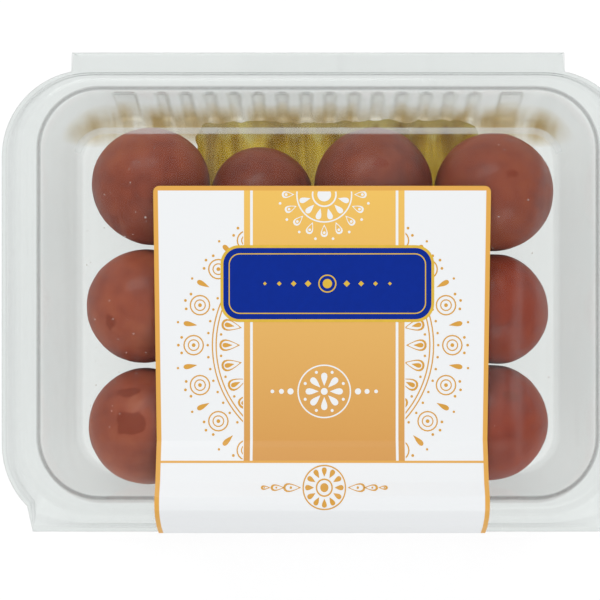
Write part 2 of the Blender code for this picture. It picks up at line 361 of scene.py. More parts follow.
select_faces(tray, is_flute)
bpy.ops.mesh.inset(thickness=0.9 * MM, depth=-FLUTE_DEPTH, use_individual=True, use_even_offset=True)
bm = bmesh.from_edit_mesh(tray.data)
for face in (face for face in bm.faces if face.select):
    middle = face.calc_center_median()
    for vert in face.verts:
        if vert.co.z > middle.z and abs(middle.x) < END_FLUTE[0]:
            vert.co.x = middle.x + (vert.co.x - middle.x) * 0.5
bmesh.update_edit_mesh(tray.data)
finish_sheet(tray, 0.45 * MM, SHEET)
tray.data.materials.append(clear_plastic("tray_sheet", (0.970, 0.945, 0.88, 0.60),
                                         0.003, 0.10, 0.02, stained=True))
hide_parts("tray")
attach(tray, "root")

# --- Balls ----------------------------------------------------------------------
# Twelve balls of milk-solid dough, fried deep brown and soaked in syrup. They are soft:
# each is slightly lumpy, and flat where it meets its neighbours, the base and the lid.


def soaked_crust(name, seed, tone, touches):
    """Fried dough soaked in syrup: mottled brown-red, wetter and browner where it meets the lid.

    touches are the wet patches: middle x and y, half width and half depth, in millimetres.
    """
    made, nodes, links, output = empty_material(name)
    skin = nodes.new("ShaderNodeBsdfPrincipled")
    skin.inputs["Coat Weight"].default_value = 0.12
    skin.inputs["Coat Roughness"].default_value = 0.18
    skin.inputs["Specular IOR Level"].default_value = 0.22
    place = nodes.new("ShaderNodeTexCoord")
    shift = nodes.new("ShaderNodeMapping")
    shift.inputs["Location"].default_value = (0.31 * seed, 0.17 * seed, 0.0)
    links.new(place.outputs["Object"], shift.inputs["Vector"])
    tones = []
    for scale, detail in ((55.0, 5.0), (240.0, 3.0), (900.0, 2.0)):
        grain = nodes.new("ShaderNodeTexNoise")
        grain.inputs["Scale"].default_value = scale
        grain.inputs["Detail"].default_value = detail
        links.new(shift.outputs["Vector"], grain.inputs["Vector"])
        tones.append(grain.outputs["Fac"])
    broad, middle, fine = tones
    mottle = nodes.new("ShaderNodeValToRGB")
    mottle.color_ramp.elements.new(0.5)
    red, green, blue = tone
    shades = ((0.34, (red * 0.74, green * 0.66, blue * 0.70)), (0.50, tone),
              (0.66, (red * 1.22, green * 1.45, blue * 1.40)))
    for element, (spot, shade) in zip(mottle.color_ramp.elements, shades):
        element.position = spot
        element.color = (*shade, 1.0)
    mixed = combine(nodes, links, "ADD",
                    combine(nodes, links, "MULTIPLY", broad, 0.62),
                    combine(nodes, links, "MULTIPLY", middle, 0.38))
    links.new(mixed, mottle.inputs["Fac"])
    colour = mottle.outputs["Color"]
    ragged = combine(nodes, links, "MULTIPLY",
                     combine(nodes, links, "SUBTRACT", middle, 0.5), 1.6)
    for x, y, half_width, half_depth in touches:
        patch = nodes.new("ShaderNodeMapping")
        patch.inputs["Scale"].default_value = (1 / (half_width * MM), 1 / (half_depth * MM), 0.0)
        patch.inputs["Location"].default_value = (-x / half_width, -y / half_depth, 0.0)
        links.new(place.outputs["Object"], patch.inputs["Vector"])
        reach = nodes.new("ShaderNodeVectorMath")
        reach.operation = "LENGTH"
        links.new(patch.outputs["Vector"], reach.inputs[0])
        wet = grey_ramp(nodes, links, combine(nodes, links, "ADD", reach.outputs["Value"], ragged),
                        [(0.86, 1.0), (0.98, 0.0)])
        stain = nodes.new("ShaderNodeMix")
        stain.data_type = "RGBA"
        stain.inputs["B"].default_value = (0.255, 0.034, 0.008, 1.0)
        links.new(combine(nodes, links, "MULTIPLY", wet, 0.85), stain.inputs["Factor"])
        links.new(colour, stain.inputs["A"])
        colour = stain.outputs["Result"]
    links.new(colour, skin.inputs["Base Color"])
    links.new(grey_ramp(nodes, links, middle, [(0.3, 0.34), (0.7, 0.52)]), skin.inputs["Roughness"])
    bump = nodes.new("ShaderNodeBump")
    bump.inputs["Strength"].default_value = 0.08
    bump.inputs["Distance"].default_value = 0.10 * MM
    links.new(combine(nodes, links, "ADD", middle, combine(nodes, links, "MULTIPLY", fine, 0.2)),
              bump.inputs["Height"])
    links.new(bump.outputs["Normal"], skin.inputs["Normal"])
    links.new(skin.outputs["BSDF"], output.inputs["Surface"])
    return made


def cloud(name, size):
    """A soft cloud pattern for pushing a surface in and out."""
    made = bpy.data.textures.new(name, "CLOUDS")
    made.noise_scale = size
    made.noise_depth = 3
    return made


dents = cloud("dents", 14 * MM)
wrinkles = cloud("wrinkles", 3.0 * MM)


def copy_of(node, name):
    """A merged copy of a frame node's mesh, ready to work on."""
    deselect()
    piece = bpy.data.objects.new(name, frame["nodes"][node].data.copy())
    piece.data.name = name
    piece.data.materials.clear()
    bpy.context.scene.collection.objects.link(piece)
    take_up(piece)
    bpy.ops.object.mode_set(mode="EDIT")
    bpy.ops.mesh.select_all(action="SELECT")
    bpy.ops.mesh.remove_doubles(threshold=0.01 * MM)
    bpy.ops.object.mode_set(mode="OBJECT")
    return piece


# colour of each ball's crust, and the wet patches where it is pressed on the lid
DEEP = (0.250, 0.046, 0.019)
BROWN = (0.310, 0.060, 0.026)
TAN = (0.385, 0.080, 0.036)
RED = (0.315, 0.037, 0.010)
CRUSTS = {
    "jamun_rear_1": (BROWN, [(-66.0, 22.0, 2.2, 3.4)]),
    "jamun_rear_2": (DEEP, []),
    "jamun_rear_3": (DEEP, [(20.5, 41.5, 3.6, 1.6)]),
    "jamun_rear_4": (BROWN, [(62.5, 38.5, 2.4, 1.6)]),
    "jamun_middle_1": (TAN, [(-67.0, -9.5, 2.0, 3.0)]),
    "jamun_middle_4": (RED, []),
    "jamun_front_1": (TAN, [(-61.5, -32.4, 3.8, 1.7), (-60.2, -42.2, 4.6, 4.0)]),
    "jamun_front_4": (RED, [(62.0, -33.0, 2.6, 1.4)]),
}
ball_nodes = sorted(name for name in frame["nodes"] if name.startswith("jamun_"))
for count, node in enumerate(ball_nodes):
    ball = copy_of(node, f"ball_{node[6:]}")
    rounding = ball.modifiers.new("rounding", "SUBSURF")
    rounding.levels = 3
    rounding.render_levels = 3
    for texture, strength in ((dents, 0.6 * MM), (wrinkles, 0.05 * MM)):
        push = ball.modifiers.new(texture.name, "DISPLACE")
        push.texture = texture
        push.texture_coords = "LOCAL"
        push.strength = strength
        push.mid_level = 0.6
    for modifier in [modifier.name for modifier in ball.modifiers]:
        bpy.ops.object.modifier_apply(modifier=modifier)
    bpy.ops.object.shade_smooth()
    tone, touches = CRUSTS.get(node, (BROWN, []))
    ball.data.materials.append(soaked_crust(f"crust_{node[6:]}", count, tone, touches))
    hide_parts(node)
    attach(ball, "root")

# --- Syrup ----------------------------------------------------------------------
# Thick golden sugar syrup that has run off the balls and gathered along the rear wall,
# where it stands between the flutes and the rear row and wets them.


def thick_syrup(name):
    """Golden syrup: coloured light passes through, paler in streaks and where a flute bends it."""
    made, nodes, links, output = empty_material(name)
    streaks = noise(nodes, links, 150.0, 2.0, (1.0, 0.18, 0.3), 0.6)
    tone = nodes.new("ShaderNodeValToRGB")
    for element, (spot, colour) in zip(tone.color_ramp.elements, (
            (0.36, (0.54, 0.375, 0.055)), (0.66, (0.92, 0.78, 0.24)))):
        element.position = spot
        element.color = (*colour, 1.0)
    links.new(streaks, tone.inputs["Fac"])
    place = nodes.new("ShaderNodeTexCoord")
    split = nodes.new("ShaderNodeSeparateXYZ")
    links.new(place.outputs["Object"], split.inputs["Vector"])
    swing = combine(nodes, links, "COSINE",
                    combine(nodes, links, "MULTIPLY", split.outputs["X"], math.tau / FLUTE_PITCH), 0.0)
    ragged = combine(nodes, links, "ADD", combine(nodes, links, "MULTIPLY", swing, 1.4 * MM),
                     combine(nodes, links, "MULTIPLY", streaks, 9.0 * MM))
    edge = nodes.new("ShaderNodeMapRange")
    edge.inputs["From Min"].default_value = 57.0 * MM
    edge.inputs["From Max"].default_value = 59.5 * MM
    links.new(combine(nodes, links, "ADD", split.outputs["Y"], ragged), edge.inputs["Value"])
    pale = nodes.new("ShaderNodeMix")
    pale.data_type = "RGBA"
    pale.inputs["B"].default_value = (0.90, 0.86, 0.52, 1.0)
    links.new(combine(nodes, links, "MULTIPLY", edge.outputs["Result"], 0.75), pale.inputs["Factor"])
    links.new(tone.outputs["Color"], pale.inputs["A"])
    through = nodes.new("ShaderNodeBsdfTransparent")
    links.new(pale.outputs["Result"], through.inputs["Color"])
    skin = nodes.new("ShaderNodeBsdfPrincipled")
    skin.inputs["Roughness"].default_value = 0.12
    links.new(pale.outputs["Result"], skin.inputs["Base Color"])
    blend = nodes.new("ShaderNodeMixShader")
    blend.inputs["Fac"].default_value = 0.25
    links.new(through.outputs["BSDF"], blend.inputs[1])
    links.new(skin.outputs["BSDF"], blend.inputs[2])
    links.new(blend.outputs["Shader"], output.inputs["Surface"])
    return made


syrup = copy_of("syrup", "syrup_pool")
bpy.ops.object.mode_set(mode="EDIT")
bpy.ops.mesh.select_all(action="SELECT")
bpy.ops.transform.shrink_fatten(value=0.35 * MM)
bpy.ops.object.mode_set(mode="OBJECT")
even = syrup.modifiers.new("even", "REMESH")
even.mode = "VOXEL"
even.voxel_size = 0.8 * MM
soften = syrup.modifiers.new("soften", "SMOOTH")
soften.factor = 0.5
soften.iterations = 6
for name, direction, size, strength, middle in (
        ("ragged_rear", "Y", 7.0, 4.0, 0.62),
        ("ragged_ends", "X", 9.0, 6.0, 0.5),
        ("waves", "NORMAL", 7.0, 0.5, 0.6)):
    push = syrup.modifiers.new(name, "DISPLACE")
    push.texture = cloud(name, size * MM)
    push.texture_coords = "LOCAL"
    push.direction = direction
    push.strength = strength * MM
    push.mid_level = middle
for modifier in [modifier.name for modifier in syrup.modifiers]:
    bpy.ops.object.modifier_apply(modifier=modifier)
bpy.ops.object.shade_smooth()
syrup.data.materials.append(thick_syrup("thick_syrup"))
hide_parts("syrup")
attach(syrup, "root")

# --- Lid ------------------------------------------------------------------------
# The upper half of the box is formed from the same clear sheet and folds shut on the
# hinge strip. A lip lies on the tray's flange, a wall bulges up to a ridge, and inside
# the ridge the sheet ramps down to a sunk flat panel that presses on the balls.
LID_LEVELS = [
    (102.6, 72.4, -77.4, 28.0, 33.9),
    (101.4, 71.2, -76.2, 27.0, 33.9),
    (98.8, 70.6, -74.2, 26.0, 41.0),
    (96.4, 69.6, -70.8, 25.0, 46.2),
    (94.2, 68.2, -68.4, 23.5, 48.1),
    (91.4, 66.6, -66.6, 21.5, 48.6),
    (88.6, 65.0, -65.0, 19.5, 48.2),
    (88.0, 64.4, -64.4, 18.9, 46.2),
    (78.4, 52.8, -49.4, 10.5, 41.4),
    (76.6, 51.0, -47.4, 9.0, 40.5),
]

lid = formed_sheet("clear_lid", LID_LEVELS)
draw_out(lid, 0, LID_LEVELS[0][:4], 1.0, 1.0)
draw_out(lid, 1, LID_LEVELS[1][:4], 0.0, 0.9)
draw_out(lid, 2, LID_LEVELS[2][:4], 0.0, 0.45)
split_rear(lid, [16 * MM * (i - 4) for i in range(9)])
select_faces(lid, lambda face: face.calc_center_median().y > 73 * MM)
bpy.ops.mesh.inset(thickness=1.5 * MM, depth=0.35 * MM, use_even_offset=True)
# which of the lid's finishes lies between a level and the next; the fold's finish is a painted shade and the
# bend's a painted highlight
LID_ZONES = {0: 3, 3: 3, 4: 3, 5: 3, 6: 1, 8: 2}
for outer, finish_and_painted_light in LID_ZONES.items():
    bpy.ops.mesh.select_mode(type="VERT")
    bpy.ops.mesh.select_all(action="DESELECT")
    select_level(lid, outer)
    select_level(lid, outer + 1)
    bm = bmesh.from_edit_mesh(lid.data)
    for face in bm.faces:
        if face.select and (finish_and_painted_light != 2 or face.calc_center_median().y > 45 * MM):
            face.material_index = finish_and_painted_light
    bmesh.update_edit_mesh(lid.data)
for face in bm.faces:
    if face.calc_center_median().y > 73 * MM:
        face.material_index = 3
bmesh.update_edit_mesh(lid.data)
bpy.ops.object.mode_set(mode="OBJECT")
lid.data.materials.append(clear_plastic("lid_sheet", (0.970, 0.950, 0.89, 0.60), 0.004, 0.12, 0.03))
# the fold at the foot of the ridge's inner wall lets less through: painted shade standing in for the dark
# line that refraction draws there
lid.data.materials.append(clear_plastic("lid_fold_painted_shade", (0.74, 0.70, 0.60, 0.45), 0.01, 0.04, 0.0))
# the bend above the panel, at the rear only, gets strong whitish haze: a painted highlight along the bend,
# with heavier rubs
lid.data.materials.append(clear_plastic("lid_bend_painted_highlight", (0.95, 0.94, 0.88, 0.60), 0.11, 0.30, 0.10))
lid.data.materials.append(clear_plastic("lid_lip", (0.915, 0.91, 0.87, 0.60), 0.012, 0.12, 0.04))
finish_sheet(lid, 0.6 * MM, SHEET)
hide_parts("lid")
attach(lid, "root")

# --- Moisture -------------------------------------------------------------------
# Warm balls leave fine drops of water and a few beads of syrup on the underside of the
# lid's panel, most of them over the balls and along the pack's left side.
DROPS = 70
PANEL_UNDERSIDE = 39.9 * MM
rng = random.Random(11)

deselect()
bpy.ops.mesh.primitive_ico_sphere_add(subdivisions=2, radius=1.0)
drop = bpy.context.active_object
drop.name = "drop"
bpy.ops.object.mode_set(mode="EDIT")
bpy.ops.mesh.select_all(action="SELECT")
bpy.ops.mesh.bisect(plane_co=(0.0, 0.0, 0.35), plane_no=(0.0, 0.0, 1.0), clear_outer=True, use_fill=True)
bpy.ops.transform.resize(value=(1.0, 1.0, 0.55), center_override=(0.0, 0.0, 0.35))
bpy.ops.object.mode_set(mode="OBJECT")
bpy.ops.object.shade_smooth_by_angle(angle=math.radians(50))

drops = []
for _ in range(DROPS):
    side = rng.choice((-1, -1, 1))
    x = side * rng.uniform(54.0, 75.0) + rng.uniform(-2.0, 2.0)
    y = rng.uniform(-45.0, 49.0)
    size = rng.uniform(0.12, 0.28) * rng.uniform(0.8, 1.3) * MM
    bead = drop.copy()
    bead.data = drop.data.copy()
    bpy.context.scene.collection.objects.link(bead)
    bead.scale = (size * rng.uniform(0.8, 1.3), size * rng.uniform(0.8, 1.3), size)
    bead.location = (x * MM, y * MM, PANEL_UNDERSIDE - 0.33 * size)
    drops.append(bead)
deselect()
bpy.data.objects.remove(drop)
for bead in drops:
    bead.select_set(True)
moisture = drops[0]
bpy.context.view_layer.objects.active = moisture
bpy.ops.object.join()
bpy.ops.object.transform_apply(location=True, rotation=True, scale=True)
moisture.name = "moisture"
moisture.data.name = "moisture"
water, nodes, links, output = empty_material("water_drops")
through = nodes.new("ShaderNodeBsdfTransparent")
through.inputs["Color"].default_value = (0.97, 0.95, 0.93, 1.0)
skin = nodes.new("ShaderNodeBsdfPrincipled")
skin.inputs["Base Color"].default_value = (0.90, 0.80, 0.74, 1.0)
skin.inputs["Roughness"].default_value = 0.08
blend = nodes.new("ShaderNodeMixShader")
links.new(grey_ramp(nodes, links, noise(nodes, links, 300.0, 2.0), [(0.35, 0.05), (0.65, 0.30)]),
          blend.inputs["Fac"])
links.new(through.outputs["BSDF"], blend.inputs[1])
links.new(skin.outputs["BSDF"], blend.inputs[2])
links.new(blend.outputs["Shader"], output.inputs["Surface"])
moisture.data.materials.append(water)
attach(moisture, "root")

# --- Label ----------------------------------------------------------------------
# A printed paper label is stuck on the lid's panel, runs over the ridge and the front
# edge, and down the tray's front wall, so that it also seals the box. Its print is
# orange on white: a border, a wide band, a plain plate and rosettes.
LABEL_SHIFT = 1.3 * MM
PAPER = 0.2 * MM
PRINT_LINE = -53.8 * MM

# (half width, y, height) where the paper bends, from the rear edge to the foot
LABEL_BENDS = [
    (54.1, 34.3, 40.8),
    (52.9, -47.2, 40.8),
    (52.9, -49.3, 41.75),
    (52.9, -60.0, 45.45),
    (52.9, -64.4, 48.6),
    (52.9, -66.6, 48.85),
    (52.9, -68.6, 48.45),
    (52.9, -71.1, 46.5),
    (52.9, -74.6, 41.3),
    (52.9, -77.65, 34.35),
    (52.9, -77.75, 33.5),
    (52.9, -77.65, 32.4),
    (52.9, -76.9, 32.1),
    (52.9, -70.0, 32.1),
    (52.9, -68.6, 31.0),
    (52.9, -66.45, 22.0),
    (52.9, -64.45, 13.0),
]

deselect()
bpy.ops.mesh.primitive_plane_add(size=1.0)
label = bpy.context.active_object
label.name = "printed_label"
label.data.name = "printed_label"
bpy.ops.object.mode_set(mode="EDIT")
bm = bmesh.from_edit_mesh(label.data)
first, second = LABEL_BENDS[:2]
for vert in bm.verts:
    half, y, height = first if vert.co.y > 0 else second
    vert.co = (LABEL_SHIFT + math.copysign(half * MM, vert.co.x), y * MM, height * MM)
bmesh.update_edit_mesh(label.data)
bpy.ops.mesh.select_mode(type="EDGE")
bpy.ops.mesh.select_all(action="DESELECT")
bm = bmesh.from_edit_mesh(label.data)
for edge in bm.edges:
    if all(vert.co.y < 0 for vert in edge.verts):
        edge.select_set(True)
bmesh.update_edit_mesh(label.data)
for (_, y, height), (_, next_y, next_height) in zip(LABEL_BENDS[1:], LABEL_BENDS[2:]):
    step = (0.0, (next_y - y) * MM, (next_height - height) * MM)
    bpy.ops.mesh.extrude_region_move(TRANSFORM_OT_translate={"value": step})
bpy.ops.mesh.select_mode(type="VERT")
bpy.ops.mesh.select_all(action="DESELECT")
bm = bmesh.from_edit_mesh(label.data)
for vert in bm.verts:
    if vert.co.y > 30 * MM:
        vert.select_set(True)
bmesh.update_edit_mesh(label.data)
bpy.ops.mesh.bevel(offset=2.0 * MM, segments=6, affect="VERTICES")
bpy.ops.mesh.select_all(action="SELECT")
bpy.ops.mesh.normals_make_consistent(inside=False)
bm = bmesh.from_edit_mesh(label.data)
if max(bm.faces, key=lambda face: face.calc_area()).normal.z < 0:
    bpy.ops.mesh.flip_normals()
bpy.ops.object.mode_set(mode="OBJECT")
take_up(label)
bends = label.modifiers.new("bends", "BEVEL")
bends.width = 0.5 * MM
bends.segments = 3
bends.limit_method = "ANGLE"
bends.angle_limit = math.radians(4)
paper = label.modifiers.new("paper", "SOLIDIFY")
paper.thickness = PAPER
paper.offset = 1.0
for modifier in (bends.name, paper.name):
    bpy.ops.object.modifier_apply(modifier=modifier)
bpy.ops.object.shade_smooth_by_angle(angle=math.radians(30))


def between(nodes, links, value, low, high, soft=0.08 * MM):
    """1 where value lies between low and high, 0 outside, with a soft print edge."""
    above = nodes.new("ShaderNodeMapRange")
    above.inputs["From Min"].default_value = low - soft
    above.inputs["From Max"].default_value = low + soft
    links.new(value, above.inputs["Value"])
    below = nodes.new("ShaderNodeMapRange")
    below.inputs["From Min"].default_value = high + soft
    below.inputs["From Max"].default_value = high - soft
    links.new(value, below.inputs["Value"])
    return combine(nodes, links, "MULTIPLY", above.outputs["Result"], below.outputs["Result"])


def overprint(nodes, links, under, mask, colour):
    """Print one colour, or a socket's colour, over what is under it where the mask is 1."""
    made = nodes.new("ShaderNodeMix")
    made.data_type = "RGBA"
    links.new(mask, made.inputs["Factor"])
    links.new(under, made.inputs["A"])
    if isinstance(colour, tuple):
        made.inputs["B"].default_value = (*colour, 1.0)
    else:
        links.new(colour, made.inputs["B"])
    return made.outputs["Result"]


WHITE_PAPER = (0.870, 0.880, 0.885)
BORDER_ORANGE = (0.770, 0.395, 0.072)
BAND_ORANGE = [(0.0, (0.665, 0.320, 0.078)), (0.5, (0.780, 0.440, 0.115)), (1.0, (0.875, 0.535, 0.108))]
BORDER = 1.5 * MM
BAND = (-23.7 * MM, 27.7 * MM)
STRIPES = (-21.3 * MM, 25.3 * MM)

label_print, nodes, links, output = empty_material("label_print")
skin = nodes.new("ShaderNodeBsdfPrincipled")
skin.inputs["Roughness"].default_value = 0.42
skin.inputs["Specular IOR Level"].default_value = 0.35
place = nodes.new("ShaderNodeTexCoord")
split = nodes.new("ShaderNodeSeparateXYZ")
links.new(place.outputs["Object"], split.inputs["Vector"])
along_x, along_y, along_z = split.outputs
plain = nodes.new("ShaderNodeRGB")
plain.outputs[0].default_value = (*WHITE_PAPER, 1.0)
shade = nodes.new("ShaderNodeValToRGB")
shade.color_ramp.elements.new(0.5)
for element, (spot, colour) in zip(shade.color_ramp.elements, BAND_ORANGE):
    element.position = spot
    element.color = (*colour, 1.0)
run = nodes.new("ShaderNodeMapRange")
run.inputs["From Min"].default_value = PRINT_LINE
run.inputs["From Max"].default_value = 34.3 * MM
links.new(along_y, run.inputs["Value"])
links.new(run.outputs["Result"], shade.inputs["Fac"])
behind_line = between(nodes, links, along_y, PRINT_LINE, 1.0)
in_band = combine(nodes, links, "MULTIPLY", between(nodes, links, along_x, *BAND), behind_line)
colour = overprint(nodes, links, plain.outputs[0], in_band, shade.outputs["Color"])
for centre in STRIPES:
    stripe = combine(nodes, links, "MULTIPLY",
                     between(nodes, links, along_x, centre - 0.42 * MM, centre + 0.42 * MM), behind_line)
    colour = overprint(nodes, links, colour, stripe, WHITE_PAPER)
line = between(nodes, links, along_y, PRINT_LINE - 0.35 * MM, PRINT_LINE + 0.35 * MM)
colour = overprint(nodes, links, colour, line, BORDER_ORANGE)
from_middle = combine(nodes, links, "ABSOLUTE",
                      combine(nodes, links, "SUBTRACT", along_x, LABEL_SHIFT), 0.0)
taper = combine(nodes, links, "MULTIPLY",
                combine(nodes, links, "MAXIMUM",
                        combine(nodes, links, "ADD", along_y, 47.2 * MM), 0.0), 1.2 / 81.5)
side = combine(nodes, links, "SUBTRACT", from_middle, taper)
at_side = between(nodes, links, side, (52.9 * MM) - BORDER, 1.0)
at_rear = between(nodes, links, along_y, 34.3 * MM - BORDER, 1.0)
at_foot = combine(nodes, links, "SUBTRACT", 1.0, between(nodes, links, along_z, 14.5 * MM, 1.0))
edges = combine(nodes, links, "MAXIMUM", combine(nodes, links, "MAXIMUM", at_side, at_rear), at_foot)
colour = overprint(nodes, links, colour, edges, BORDER_ORANGE)
links.new(colour, skin.inputs["Base Color"])
fibre = nodes.new("ShaderNodeBump")
fibre.inputs["Strength"].default_value = 0.06
fibre.inputs["Distance"].default_value = 0.05 * MM
links.new(noise(nodes, links, 900.0, 3.0), fibre.inputs["Height"])
links.new(fibre.outputs["Normal"], skin.inputs["Normal"])
links.new(skin.outputs["BSDF"], output.inputs["Surface"])
label.data.materials.append(label_print)
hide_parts("label")
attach(label, "root")

# --- Print on the label ----------------------------------------------------------
# The ornaments are a thin layer of ink on the paper: orange rosettes on the white, cut
# off at the band and at the line across, a white half rosette and flower on the band,
# an orange flower over the front ridge, and a plain blue plate with a gold rim.
INK = 0.04 * MM
ROSETTE = (1.6 * MM, -16.7 * MM)


def print_start(name):
    """An empty sheet of ink, in edit mode."""
    deselect()
    sheet = bpy.data.objects.new(name, bpy.data.meshes.new(name))
    bpy.context.scene.collection.objects.link(sheet)
    take_up(sheet)
    bpy.ops.object.mode_set(mode="EDIT")
    bpy.ops.mesh.select_mode(type="VERT")
    return sheet


def disc(x, y, radius, corners=14):
    """A filled round of ink; the new shape is left selected."""
    bpy.ops.mesh.select_all(action="DESELECT")
    bpy.ops.mesh.primitive_circle_add(vertices=corners, radius=radius, fill_type="NGON", location=(x, y, 0))


def ring(x, y, radius, line, corners=24):
    """A round outline of ink of the given line width."""
    bpy.ops.mesh.select_all(action="DESELECT")
    bpy.ops.mesh.primitive_circle_add(vertices=corners, radius=radius, location=(x, y, 0))
    inner = (radius - line) / radius
    bpy.ops.mesh.extrude_edges_move()
    bpy.ops.transform.resize(value=(inner, inner, 1.0), center_override=(x, y, 0))
    bpy.ops.mesh.select_linked()


def shape_petal(sheet, x, y, length, width):
    """Draw the selected round into a drop that points along +X, its blunt end outwards."""
    bm = bmesh.from_edit_mesh(sheet.data)
    for vert in bm.verts:
        if vert.select:
            along = (vert.co.x - x) / (length / 2)
            swell = 0.5 + 0.5 * along
            vert.co.y = y + (vert.co.y - y) * width / length * (0.15 + 1.05 * swell)
    bmesh.update_edit_mesh(sheet.data)


def petal(sheet, x, y, length, width, line=None):
    """A drop of ink, filled, or outlined where a line width is given."""
    if line is None:
        disc(x, y, length / 2, 16)
    else:
        ring(x, y, length / 2, line * 1.4, 18)
    shape_petal(sheet, x, y, length, width)


def repeat_round(centre, copies, turn=0.0):
    """Repeat what is selected all round a centre."""
    middle = (centre[0], centre[1], 0.0)
    if turn:
        bpy.ops.transform.rotate(value=turn, orient_axis="Z", center_override=middle)
    bpy.ops.mesh.spin(steps=copies - 1, dupli=True, angle=math.tau * (copies - 1) / copies,
                      center=middle, axis=(0.0, 0.0, 1.0))


def trim(place, outwards):
    """Cut off all the ink beyond a line."""
    bpy.ops.mesh.select_all(action="SELECT")
    bpy.ops.mesh.bisect(plane_co=(*place, 0.0), plane_no=(*outwards, 0.0), clear_outer=True)


def print_finish(sheet, lift, material):
    """Lay the ink on the paper, bend it with it, and give it its thickness."""
    for _, y, _ in LABEL_BENDS[1:9]:
        bpy.ops.mesh.select_all(action="SELECT")
        bpy.ops.mesh.bisect(plane_co=(0.0, y * MM, 0.0), plane_no=(0.0, 1.0, 0.0))
    bpy.ops.mesh.select_all(action="SELECT")
    bpy.ops.transform.translate(value=(0.0, 0.0, 60 * MM))
    bpy.ops.mesh.normals_make_consistent(inside=False)
    bm = bmesh.from_edit_mesh(sheet.data)
    for face in bm.faces:
        if face.normal.z < 0:
            face.normal_flip()
    bmesh.update_edit_mesh(sheet.data)
    take_up(sheet)
    lay = sheet.modifiers.new("lay", "SHRINKWRAP")
    lay.target = label
    lay.wrap_method = "PROJECT"
    lay.use_project_z = True
    lay.use_negative_direction = True
    lay.use_positive_direction = False
    lay.offset = lift
    bpy.ops.object.modifier_apply(modifier=lay.name)
    film = sheet.modifiers.new("film", "SOLIDIFY")
    film.thickness = lift + 0.01 * MM
    film.offset = -1.0
    bpy.ops.object.modifier_apply(modifier=film.name)
    sheet.data.materials.append(material)
    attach(sheet, "root")


def ink(name, colour, gloss=0.3, grain=0.10):
    """Printing ink: nearly flat colour, a little uneven where the paper took it up."""
    made, nodes, links, output = empty_material(name)
    skin = nodes.new("ShaderNodeBsdfPrincipled")
    skin.inputs["Roughness"].default_value = 0.38
    skin.inputs["Specular IOR Level"].default_value = gloss
    uneven = nodes.new("ShaderNodeMix")
    uneven.data_type = "RGBA"
    uneven.inputs["A"].default_value = (*(value * (1 - grain) for value in colour), 1.0)
    uneven.inputs["B"].default_value = (*(min(value * (1 + grain), 1.0) for value in colour), 1.0)
    links.new(noise(nodes, links, 420.0, 3.0), uneven.inputs["Factor"])
    links.new(uneven.outputs["Result"], skin.inputs["Base Color"])
    links.new(skin.outputs["BSDF"], output.inputs["Surface"])
    return made


orange_ink = ink("orange_ink", (0.690, 0.345, 0.050))
white_ink = ink("white_ink", (0.870, 0.875, 0.870), grain=0.01)
blue_ink = ink("blue_ink", (0.001, 0.022, 0.270), gloss=0.1)
gold_ink = ink("gold_ink", (0.730, 0.470, 0.045))


def rosette(name, keep_side, edge_x):
    """The part of the big orange rosette on one side of the band, on the white paper."""
    sheet = print_start(name)
    x, y = ROSETTE
    for radius, line in ((25.6, 0.45), (34.4, 0.40), (35.6, 0.40)):
        ring(x, y, radius * MM, line * MM, 120)
    petal(sheet, x + 29.9 * MM, y, 6.6 * MM, 4.6 * MM, 0.5 * MM)
    repeat_round(ROSETTE, 30)
    petal(sheet, x + 30.6 * MM, y, 3.2 * MM, 1.8 * MM)
    repeat_round(ROSETTE, 30)
    disc(x + 32.8 * MM, y, 0.42 * MM, 8)
    repeat_round(ROSETTE, 30, math.tau / 60)
    disc(x + 36.9 * MM, y, 0.42 * MM, 8)
    repeat_round(ROSETTE, 60)
    ring(x + 41.4 * MM, y, 3.3 * MM, 0.42 * MM, 20)
    repeat_round(ROSETTE, 20)
    ring(x + 41.4 * MM, y, 1.9 * MM, 0.36 * MM, 14)
    repeat_round(ROSETTE, 20)
    disc(x + 41.4 * MM, y, 0.62 * MM, 10)
    repeat_round(ROSETTE, 20)
    petal(sheet, x + 43.0 * MM, y, 4.4 * MM, 2.0 * MM)
    repeat_round(ROSETTE, 20, math.tau / 40)
    for offset in (-0.055, 0.0, 0.055):
        disc(x + (46.3 - 18 * abs(offset)) * MM, y, 0.46 * MM, 8)
        repeat_round(ROSETTE, 20, offset)
    disc(x + 47.0 * MM, y, 0.40 * MM, 8)
    repeat_round(ROSETTE, 20, math.tau / 40)
    trim((edge_x, 0.0), (-keep_side, 0.0))
    trim((0.0, PRINT_LINE + 0.8 * MM), (0.0, -1.0))
    print_finish(sheet, INK, orange_ink)


rosette("rosette_left", -1.0, BAND[0] - 0.3 * MM)
rosette("rosette_right", 1.0, BAND[1] + 0.3 * MM)

BAND_MIDDLE = (BAND[0] + BAND[1]) / 2
crown = print_start("rosette_rear")
rear_centre = (BAND_MIDDLE, 31.5 * MM)
x, y = rear_centre
disc(x, y, 2.2 * MM, 24)
for radius, line in ((4.0, 0.5), (9.0, 0.45)):
    ring(x, y, radius * MM, line * MM, 48)
petal(crown, x + 6.4 * MM, y, 3.6 * MM, 2.2 * MM)
repeat_round(rear_centre, 12, math.tau / 24)
petal(crown, x + 11.6 * MM, y, 4.0 * MM, 2.8 * MM, 0.45 * MM)
repeat_round(rear_centre, 16)
disc(x + 12.2 * MM, y, 0.45 * MM, 8)
repeat_round(rear_centre, 16)
disc(x + 14.4 * MM, y, 0.45 * MM, 8)
repeat_round(rear_centre, 16, math.tau / 32)
trim((0.0, 34.3 * MM - BORDER - 0.3 * MM), (0.0, 1.0))
print_finish(crown, INK, white_ink)

